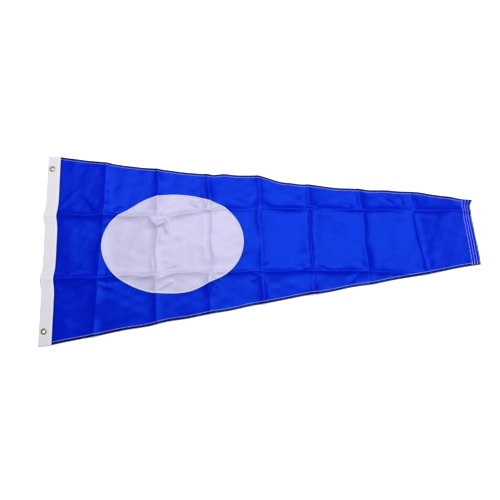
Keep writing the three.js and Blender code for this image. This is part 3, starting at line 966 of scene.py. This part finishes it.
def tube(path, radius):
    """(points, faces, flat) of a thread along a path in the flat model."""
    ahead = np.gradient(path, axis=0)
    ahead /= np.linalg.norm(ahead, axis=1)[:, None]
    side = np.cross(ahead, [0, 0, 1.0])
    side /= np.maximum(np.linalg.norm(side, axis=1), 1e-9)[:, None]
    up = np.cross(side, ahead)
    angles = np.linspace(0, 2 * math.pi, SIDES, endpoint=False)
    ring = side[:, None] * np.cos(angles)[:, None] + up[:, None] * np.sin(angles)[:, None]
    points = path[:, None] + ring * radius
    n = len(path)
    faces = [tuple(f) for f in quads(n, SIDES, wrap=True)[:, ::-1]]
    faces += [tuple(range(SIDES)), tuple(range((n - 1) * SIDES, n * SIDES))[::-1]]
    far = np.concatenate([[0], np.cumsum(np.linalg.norm(np.diff(path, axis=0), axis=1))])
    flat = np.stack([np.repeat(far, SIDES), np.tile(angles, n), np.zeros(n * SIDES)], -1)
    return points.reshape(-1, 3), faces, flat


def stitched(holes, face, side, radius):
    """A thread's path through needle holes: up over each stitch, and down into the cloth at each."""
    path = []
    rise = np.array([-0.4, 0.65, 0.95, 1.0, 0.95, 0.65]) * radius
    shares = np.array([0, 0.08, 0.25, 0.5, 0.75, 0.92])
    for a, b in zip(holes[:-1], holes[1:]):
        spots = a + (b - a) * shares[:, None]
        path.append(np.column_stack([spots, face + side * rise]))
    end = np.append(holes[-1], face - side * 0.9 * radius)
    return np.concatenate([*path, [end]])


def thread(name, holes, face, side, node, radius):
    points, faces, flat = tube(stitched(holes, face, side, radius), radius)
    return piece(name, lay(points), faces, THREAD, [node], {"flat": flat})


def straight_row(start, end, backtack=0.0):
    """Needle holes from start to end, with a run back and forth over the last stitches."""
    start, end = np.array(start), np.array(end)
    length = np.linalg.norm(end - start)
    holes = start + (end - start) * np.linspace(0, 1, int(length / STITCH) + 1)[:, None]
    if not backtack:
        return holes
    ahead = (end - start) / length
    beside = np.array([-ahead[1], ahead[0]]) * 0.7 * THREAD_RADIUS
    count = int(backtack / STITCH)
    back = [end + beside - ahead * STITCH * k for k in range(1, count + 1)]
    forth = [end - beside - ahead * STITCH * k for k in range(count - 1, -1, -1)]
    return np.concatenate([holes, back, forth])


def zigzag_row():
    """Needle holes of the seam round the ellipse, by turns just outside its edge and inside it."""
    angles = np.linspace(0, 2 * math.pi, 4001)
    edge = np.stack([ELLIPSE_X + ELLIPSE_A * np.cos(angles), ELLIPSE_B * np.sin(angles)], -1)
    far = np.concatenate([[0], np.cumsum(np.linalg.norm(np.diff(edge, axis=0), axis=1))])
    count = 2 * int(far[-1] / ZIGZAG_PITCH)
    angles = np.interp(np.linspace(0, far[-1], count), far, angles)
    out = np.where(np.arange(count) % 2, ZIGZAG_OUT, ZIGZAG_OUT - ZIGZAG_WIDTH)
    u = ELLIPSE_X + (ELLIPSE_A + out) * np.cos(angles)
    return np.stack([u, (ELLIPSE_B + out) * np.sin(angles)], -1)


def seam(name, holes, front, back, radius=THREAD_RADIUS):
    """A lockstitch: its needle thread on the front, and its bobbin thread on the back."""
    return [
        thread(f"{name}_needle", holes, front, 1, f"{name}_needle_thread", radius),
        thread(f"{name}_bobbin", holes, back, -1, f"{name}_bobbin_thread", radius),
    ]


def make_seams():
    made = []
    for i in (1, 2):
        low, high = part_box(f"heading_seam_{i}_needle_thread")
        u = (low.x + high.x) / 2
        holes = straight_row((u, low.y), (u, high.y))
        made += seam(f"heading_seam_{i}", holes, HEADING_HIGH.z, HEADING_LOW.z)
    for i in range(1, 5):
        low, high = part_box(f"fly_hem_row_{i}_needle_thread")
        u = (low.x + high.x) / 2
        holes = straight_row((u, high.y), (u, low.y), BACKTACK)
        made += seam(f"fly_hem_row_{i}", holes, FLY_FRONT, FLY_BACK)
    for name, side in (("upper_hem", 1), ("lower_hem", -1)):
        low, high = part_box(f"{name}_needle_thread")
        inset = half_height(low.x) - max(abs(low.y), abs(high.y)) + THREAD_RADIUS
        ends = [(x, side * (half_height(x) - inset)) for x in (low.x, high.x)]
        made += seam(name, straight_row(*ends), FLY_FRONT, FLY_BACK)
    made += seam("ellipse_seam", zigzag_row(), ELLIPSE_HIGH.z, FLY_FRONT - PLY, ZIGZAG_RADIUS)
    return made


fly = make_fly()
ellipse = make_ellipse()
heading = make_heading()
make_webbing()
make_grommets()
threads = make_seams()

# ---- Floor and light ---------------------------------------------------------------------------------

FLOOR_HALF = 6.0
FLOOR_GLOW = 0.5
WORLD_COLOUR, WORLD_STRENGTH = (0.95, 0.96, 1.0, 1), 0.1
SOFTBOX_PLACE, SOFTBOX_AIM = (0.15, 0.52, 1.9), (0.02, 0, 0)
SOFTBOX_SIZE, SOFTBOX_POWER = (2.3, 0.75), 50


def make_floor():
    shader = Shader("floor")
    place = shader.tree.nodes.new("ShaderNodeTexCoord").outputs["Object"]
    tone = shader.mix(shader.noise(place, 3), (0.90, 0.90, 0.90, 1), (0.93, 0.93, 0.93, 1))
    shader.set(Base_Color=tone, Roughness=0.8, Specular_IOR_Level=0.1)
    shader.set(Emission_Color=(1, 1, 1, 1), Emission_Strength=FLOOR_GLOW)
    corners = [(x * FLOOR_HALF, y * FLOOR_HALF, 0) for x, y in ((-1, -1), (1, -1), (1, 1), (-1, 1))]
    mesh = bpy.data.meshes.new("floor")
    mesh.from_pydata(corners, [], [(0, 1, 2, 3)])
    mesh.materials.append(shader.material)
    floor = bpy.data.objects.new("floor", mesh)
    bpy.context.scene.collection.objects.link(floor)


def make_softbox():
    light = bpy.data.lights.new("overhead", "AREA")
    light.shape, light.energy = "RECTANGLE", SOFTBOX_POWER
    light.size, light.size_y = SOFTBOX_SIZE
    made = bpy.data.objects.new("overhead", light)
    bpy.context.scene.collection.objects.link(made)
    made.location = SOFTBOX_PLACE
    made.rotation_euler = (Vector(SOFTBOX_PLACE) - Vector(SOFTBOX_AIM)).to_track_quat("Z", "Y").to_euler()


def make_world():
    world = bpy.data.worlds.new("world")
    bpy.context.scene.world = world
    world.use_nodes = True
    background = world.node_tree.nodes["Background"]
    background.inputs["Color"].default_value = WORLD_COLOUR
    background.inputs["Strength"].default_value = WORLD_STRENGTH


make_floor()
make_softbox()
make_world()
bpy.context.scene.view_settings.view_transform = "Standard"
